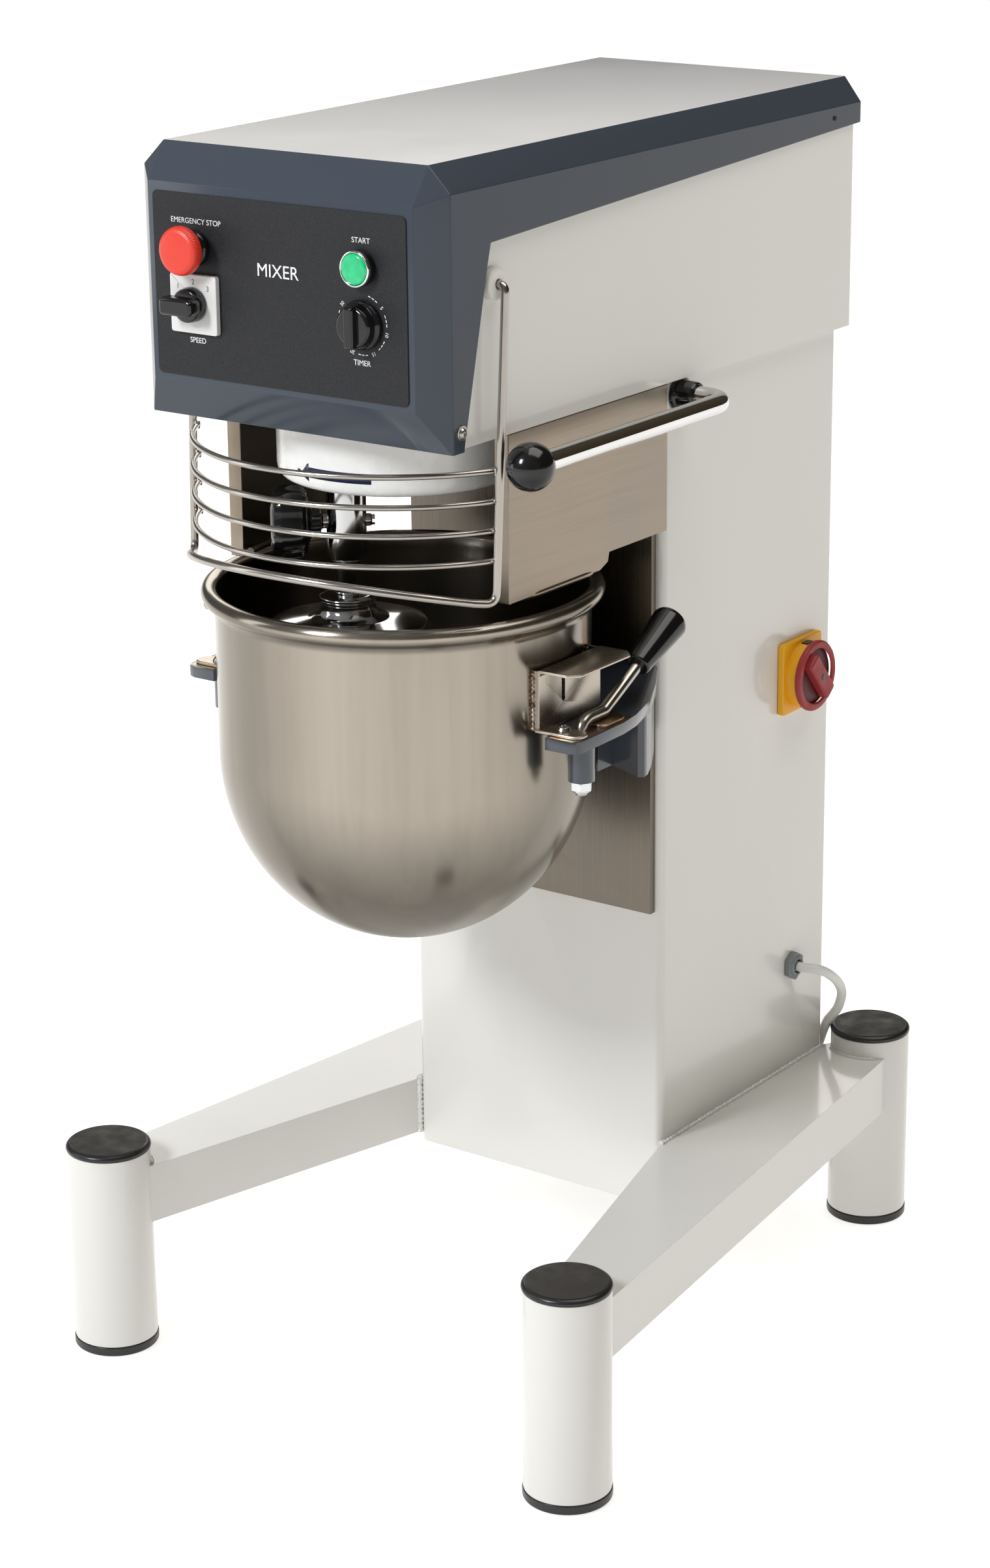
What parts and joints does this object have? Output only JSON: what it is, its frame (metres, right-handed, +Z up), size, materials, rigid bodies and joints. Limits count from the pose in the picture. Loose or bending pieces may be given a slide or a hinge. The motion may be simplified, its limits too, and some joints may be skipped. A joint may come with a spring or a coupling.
{
  "type": "commercial stand mixer",
  "caption": "Floor-standing planetary mixer: steel bowl on a lever-raised yoke, whisk on a planetary drive, wire guard, belt drive in a head on a column with legs.",
  "frame": {"origin": "on the floor, under the middle of the machine's overall box without its mains cable", "axes": "+Z up; the front with the controls faces -Y; +X is the lift handle's side, at the right hand of someone facing the controls"},
  "size_m": [0.582, 0.7888, 1.1142],
  "materials": {
    "cream_paint": "gloss powder coat, warm cream",
    "slate_paint": "gloss powder coat, slate grey",
    "casting_paint": "gloss paint on a casting, dark slate",
    "stainless": "brushed",
    "polished_steel": "polished stainless steel with fine spinning marks",
    "chrome": "bright chrome",
    "cast_iron": "as cast and machined",
    "black_plastic": "gloss moulded",
    "label_film": "fine textured film",
    "rubber": "matt",
    "white_plastic": "satin moulded",
    "cable_sheath": "soft white sheath",
    "red_plastic": "moulded",
    "green_lens": "translucent lens",
    "yellow_plastic": "moulded",
    "grey_plastic": "moulded",
    "selector_silver": "silver-grey moulded plate",
    "motor_paint": "grey machine paint"
  },
  "bodies": {
    "frame": {"leg_front_left": "cream_paint", "leg_cap_front_left": "black_plastic", "foot_front_left": "black_plastic", "leg_front_right": "cream_paint", "leg_cap_front_right": "black_plastic", "foot_front_right": "black_plastic", "leg_rear_left": "cream_paint", "leg_cap_rear_left": "black_plastic", "foot_rear_left": "black_plastic", "leg_rear_right": "cream_paint", "leg_cap_rear_right": "black_plastic", "foot_rear_right": "black_plastic", "base_beam_left": "cream_paint", "side_guard_left": "stainless", "guard_bush_left": "white_plastic", "base_beam_right": "cream_paint", "side_guard_right": "stainless", "guard_bush_right": "white_plastic", "column": "cream_paint", "face_plate": "stainless", "head_housing": "cream_paint", "hood": "slate_paint", "control_panel": "label_film", "estop_collar": "chrome", "start_bezel": "chrome", "selector_plate": "selector_silver", "gear_housing": "cast_iron", "ring_gear": "cast_iron", "drive_belt": "rubber", "motor": "motor_paint", "lift_guide": "cast_iron", "isolator_base": "yellow_plastic", "cable_gland": "grey_plastic", "mains_cable": "cable_sheath", "cable_coil": "cable_sheath", "plug": "white_plastic"},
    "bowl_carriage": {"bowl_yoke": "casting_paint", "bowl": "polished_steel", "bowl_bracket_left": "stainless", "bowl_bracket_right": "stainless", "slide_block": "cast_iron", "lift_link": "stainless"},
    "lock_lever": {"lock_rod": "stainless", "lock_grip": "black_plastic"},
    "lift_lever": {"lift_handle": "chrome", "ball_knob": "black_plastic", "lift_crank": "cast_iron"},
    "guard": {"guard_wires": "stainless"},
    "planetary": {"planetary_drum": "white_plastic", "main_shaft": "cast_iron", "driven_pulley": "cast_iron"},
    "planet": {"planet_shaft": "chrome", "whisk": "polished_steel"},
    "tool_clamp": {"clamp_knob": "black_plastic"},
    "motor_rotor": {"drive_pulley": "cast_iron"},
    "emergency_stop": {"estop_button": "red_plastic"},
    "start": {"start_button": "green_lens"},
    "speed_selector": {"speed_knob": "black_plastic"},
    "timer": {"timer_knob": "black_plastic"},
    "isolator": {"isolator_handle": "red_plastic"}
  },
  "joints": [
    {"name": "bowl_lift", "type": "slide", "parent": "frame", "child": "bowl_carriage", "axis": [0, 0, 1], "range_m": [-0.11, 0]},
    {"name": "lift_lever_turn", "type": "hinge", "parent": "frame", "child": "lift_lever", "pos_m": [0.138, 0.037, 0.874], "axis": [1, 0, 0], "range_deg": [-111, 0.5]},
    {"name": "lock_lever_turn", "type": "hinge", "parent": "bowl_carriage", "child": "lock_lever", "pos_m": [0.19, -0.188, 0.64], "axis": [0, 0, 1], "range_deg": [-90, 0]},
    {"name": "guard_swing", "type": "hinge", "parent": "frame", "child": "guard", "pos_m": [0, -0.25, 1.015], "axis": [1, 0, 0], "range_deg": [-92, 0]},
    {"name": "planetary_spin", "type": "hinge", "parent": "frame", "child": "planetary", "pos_m": [0, -0.1776, 0.85], "axis": [0, 0, 1], "continuous": true},
    {"name": "planet_spin", "type": "hinge", "parent": "planetary", "child": "planet", "pos_m": [-0.03593, -0.20775, 0.8], "axis": [0, 0, 1], "continuous": true},
    {"name": "tool_clamp_turn", "type": "hinge", "parent": "planet", "child": "tool_clamp", "pos_m": [-0.03593, -0.20775, 0.789], "axis": [-0.766, -0.6428, 0], "range_deg": [0, 360]},
    {"name": "motor_spin", "type": "hinge", "parent": "frame", "child": "motor_rotor", "pos_m": [0, 0.205, 1.014], "axis": [0, 0, 1], "continuous": true},
    {"name": "emergency_stop_press", "type": "slide", "parent": "frame", "child": "emergency_stop", "axis": [0, 1, 0], "range_m": [0, 0.005], "stiffness_N_per_m": 600},
    {"name": "start_press", "type": "slide", "parent": "frame", "child": "start", "axis": [0, 1, 0], "range_m": [0, 0.003], "stiffness_N_per_m": 600},
    {"name": "speed_selector_turn", "type": "hinge", "parent": "frame", "child": "speed_selector", "pos_m": [-0.084, -0.345, 0.989], "axis": [0, 1, 0], "range_deg": [0, 135]},
    {"name": "timer_turn", "type": "hinge", "parent": "frame", "child": "timer", "pos_m": [0.084, -0.345, 0.989], "axis": [0, 1, 0], "range_deg": [0, 300]},
    {"name": "isolator_turn", "type": "hinge", "parent": "frame", "child": "isolator", "pos_m": [0.16, 0.2435, 0.5725], "axis": [1, 0, 0], "range_deg": [0, 90]}
  ],
  "couplings": [
    {"joint": "lift_lever_turn", "follows": "bowl_lift", "rad_per_m": 17.453},
    {"joint": "planet_spin", "follows": "planetary_spin", "ratio": -3},
    {"joint": "motor_spin", "follows": "planetary_spin", "ratio": 2.4706}
  ]
}
